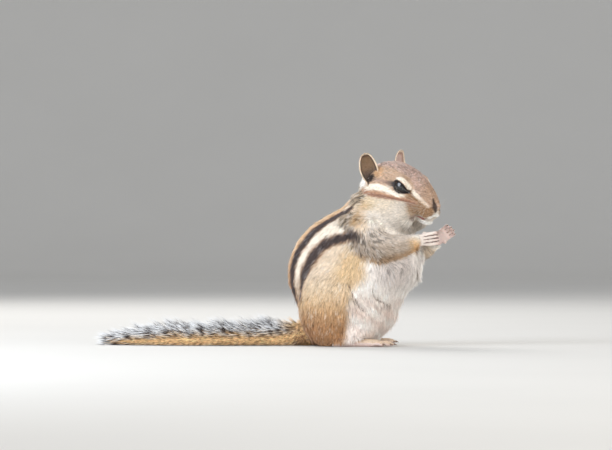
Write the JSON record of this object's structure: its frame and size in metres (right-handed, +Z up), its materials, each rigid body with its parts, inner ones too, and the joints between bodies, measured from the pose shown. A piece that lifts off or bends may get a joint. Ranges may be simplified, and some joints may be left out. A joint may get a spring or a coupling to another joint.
{
  "type": "chipmunk",
  "caption": "Life-size chipmunk sitting upright with its hands raised before its mouth, head turned to one side and bushy tail laid out behind.",
  "frame": {"origin": "on the floor, under the centre of the whole model's box from tail tip to fingertips", "axes": "+X the way the body faces, from the tail to the hands; +Y to the animal's left, away from the picture's camera; +Z up"},
  "size_m": [0.181, 0.0522, 0.0983],
  "materials": {
    "back_fur": "short dense fur, brown with dark and pale stripes",
    "face_fur": "short dense fur, striped brown and cream",
    "limb_fur": "short dense fur, buff",
    "tail_fur": "long bushy hair, orange-brown core, black band, white tips",
    "ear_skin": "thin skin with very short fur",
    "bare_skin": "pale pink skin with sparse hair",
    "eye": "wet black gloss"
  },
  "bodies": {
    "root": {"torso": "back_fur", "neck": "back_fur", "head": "face_fur", "ear_right": "ear_skin", "ear_left": "ear_skin", "eye_right": "eye", "eye_left": "eye", "foreleg_right": "limb_fur", "foreleg_left": "limb_fur", "hand_right": "bare_skin", "hand_left": "bare_skin", "hindleg_right": "limb_fur", "hindleg_left": "limb_fur", "foot_right": "bare_skin", "foot_left": "bare_skin", "tail_root": "tail_fur", "tail_middle": "tail_fur", "tail_tip": "tail_fur"}
  },
  "joints": []
}
